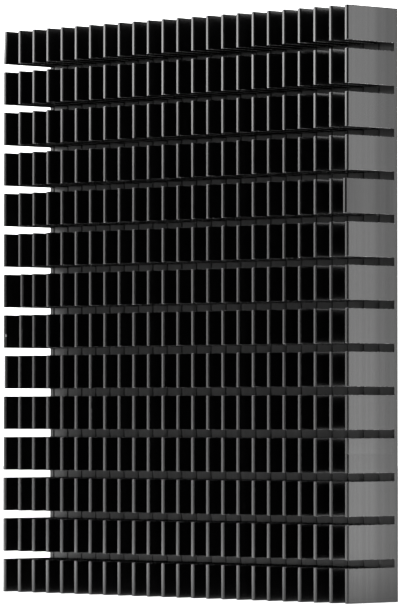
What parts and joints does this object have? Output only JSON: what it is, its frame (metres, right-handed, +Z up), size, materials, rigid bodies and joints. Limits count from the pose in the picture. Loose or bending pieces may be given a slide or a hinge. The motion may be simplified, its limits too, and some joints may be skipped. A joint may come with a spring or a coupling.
{
  "type": "pin fin heat sink",
  "caption": "Black anodised aluminium heat sink: a thin flat base plate covered by a grid of upright flat pins, for cooling a module fixed to its back.",
  "frame": {"origin": "middle of the base plate's flat back face, where the hot module sits", "axes": "+Y out of the back face, -Y along the pins to their tips, +Z up along the extrusion, +X across the fins to the right as seen from the pin side"},
  "size_m": [0.1479, 0.0217, 0.1754],
  "materials": {
    "anodised_aluminium": "satin black anodised"
  },
  "bodies": {
    "root": {"heat_sink": "anodised_aluminium"}
  },
  "joints": []
}
